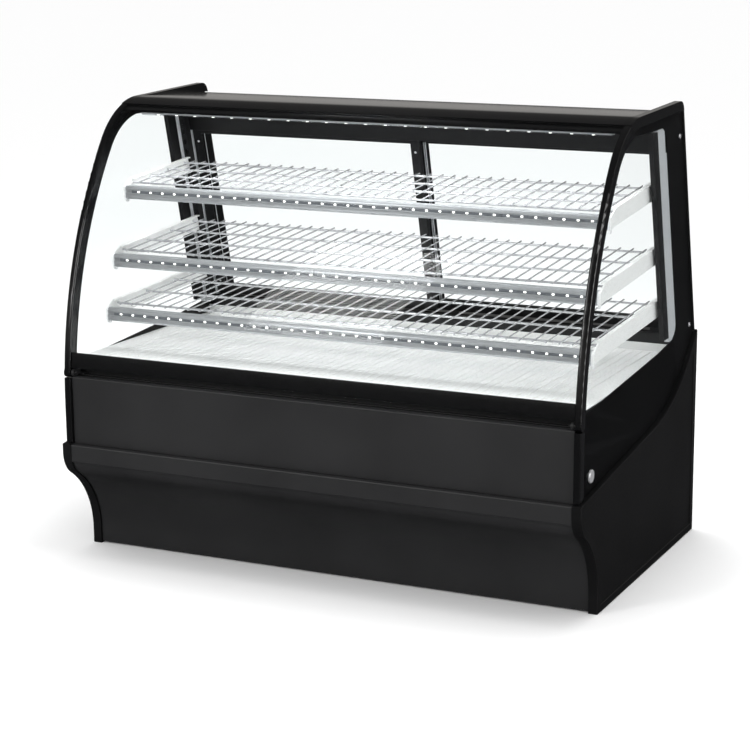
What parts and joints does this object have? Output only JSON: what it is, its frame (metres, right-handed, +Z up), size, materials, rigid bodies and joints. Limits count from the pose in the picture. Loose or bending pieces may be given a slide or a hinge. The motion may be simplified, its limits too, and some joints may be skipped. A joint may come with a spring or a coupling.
{
  "type": "glass display showcase",
  "caption": "Curved-glass bakery display case on an S-fronted black base, with tilted lit wire shelves, glass ends, a tilt-forward front and sliding doors at the rear.",
  "frame": {"origin": "on the floor under the middle of the cabinet's outer box", "axes": "+X to the right as the customer sees it, -Y towards the customer, +Z up"},
  "size_m": [1.505, 0.93, 1.2386],
  "materials": {
    "black_plastic": "satin",
    "charcoal_steel": "satin",
    "black_steel": "gloss",
    "frame_steel": "satin",
    "rubber_plastic": "matte",
    "driver_case": "satin",
    "white_steel": "satin",
    "clear_glass": "gloss",
    "printed_black": "gloss",
    "bright_aluminium": "satin",
    "light_lens": "gloss",
    "wire_chrome": "polished",
    "bright_steel": "polished"
  },
  "bodies": {
    "cabinet": {"base_end_left": "black_plastic", "base_end_right": "black_plastic", "kick_panel": "charcoal_steel", "ledge_trim": "charcoal_steel", "front_panel": "charcoal_steel", "rear_access_panel": "black_steel", "front_sill": "black_steel", "rear_sill": "black_steel", "rear_header": "black_steel", "deck_support": "black_steel", "canopy_shell": "black_steel", "canopy_tray": "black_steel", "switch_plate": "black_steel", "post_covers": "black_steel", "lower_posts": "black_steel", "crown_caps": "black_steel", "shelf_standard_left": "black_steel", "shelf_standard_right": "black_steel", "base_frame": "frame_steel", "glass_hinge_brackets": "frame_steel", "levelling_feet": "rubber_plastic", "cable_inlet": "rubber_plastic", "led_driver": "driver_case", "deck_pan": "white_steel", "end_glass_left": "clear_glass", "end_glass_right": "clear_glass", "end_border_left": "printed_black", "end_border_right": "printed_black", "rear_post_left": "bright_aluminium", "rear_post_right": "bright_aluminium", "canopy_light": "bright_aluminium", "canopy_light_lens": "light_lens", "end_fasteners": "bright_steel"},
    "front_glass": {"front_glass": "clear_glass", "glass_foot_rail": "black_steel", "glass_top_rail": "black_steel", "glass_trim_left": "black_steel", "glass_trim_right": "black_steel", "glass_pivot_pins": "bright_steel"},
    "rear_door_left": {"door_left_frame": "black_steel", "door_left_glass": "clear_glass", "door_left_pull": "black_steel", "door_left_glides": "rubber_plastic"},
    "rear_door_right": {"door_right_frame": "black_steel", "door_right_glass": "clear_glass", "door_right_pull": "black_steel", "door_right_glides": "rubber_plastic"},
    "shelf_top": {"shelf_top_brackets": "white_steel", "shelf_top_deck": "wire_chrome", "shelf_top_light_rail": "bright_aluminium", "shelf_top_light_lens": "light_lens"},
    "shelf_middle": {"shelf_middle_brackets": "white_steel", "shelf_middle_deck": "wire_chrome", "shelf_middle_light_rail": "bright_aluminium", "shelf_middle_light_lens": "light_lens"},
    "shelf_bottom": {"shelf_bottom_brackets": "white_steel", "shelf_bottom_deck": "wire_chrome", "shelf_bottom_light_rail": "bright_aluminium", "shelf_bottom_light_lens": "light_lens"},
    "light_switch": {"switch_rocker": "rubber_plastic"}
  },
  "joints": [
    {"name": "front_glass_tilt", "type": "hinge", "parent": "cabinet", "child": "front_glass", "pos_m": [0, -0.4405, 0.514], "axis": [1, 0, 0], "range_deg": [0, 40]},
    {"name": "rear_door_left_slide", "type": "slide", "parent": "cabinet", "child": "rear_door_left", "axis": [1, 0, 0], "range_m": [0, 0.66]},
    {"name": "rear_door_right_slide", "type": "slide", "parent": "cabinet", "child": "rear_door_right", "axis": [1, 0, 0], "range_m": [-0.66, 0]},
    {"name": "shelf_top_lift", "type": "slide", "parent": "cabinet", "child": "shelf_top", "axis": [0, -0.2345, 0.9721], "range_m": [0, 0.008]},
    {"name": "shelf_middle_lift", "type": "slide", "parent": "cabinet", "child": "shelf_middle", "axis": [0, -0.2345, 0.9721], "range_m": [0, 0.008]},
    {"name": "shelf_bottom_lift", "type": "slide", "parent": "cabinet", "child": "shelf_bottom", "axis": [0, -0.2345, 0.9721], "range_m": [0, 0.008]},
    {"name": "light_switch_rock", "type": "hinge", "parent": "cabinet", "child": "light_switch", "pos_m": [0.6, 0.4556, 0.451], "axis": [1, 0, 0], "range_deg": [0, 18]}
  ]
}
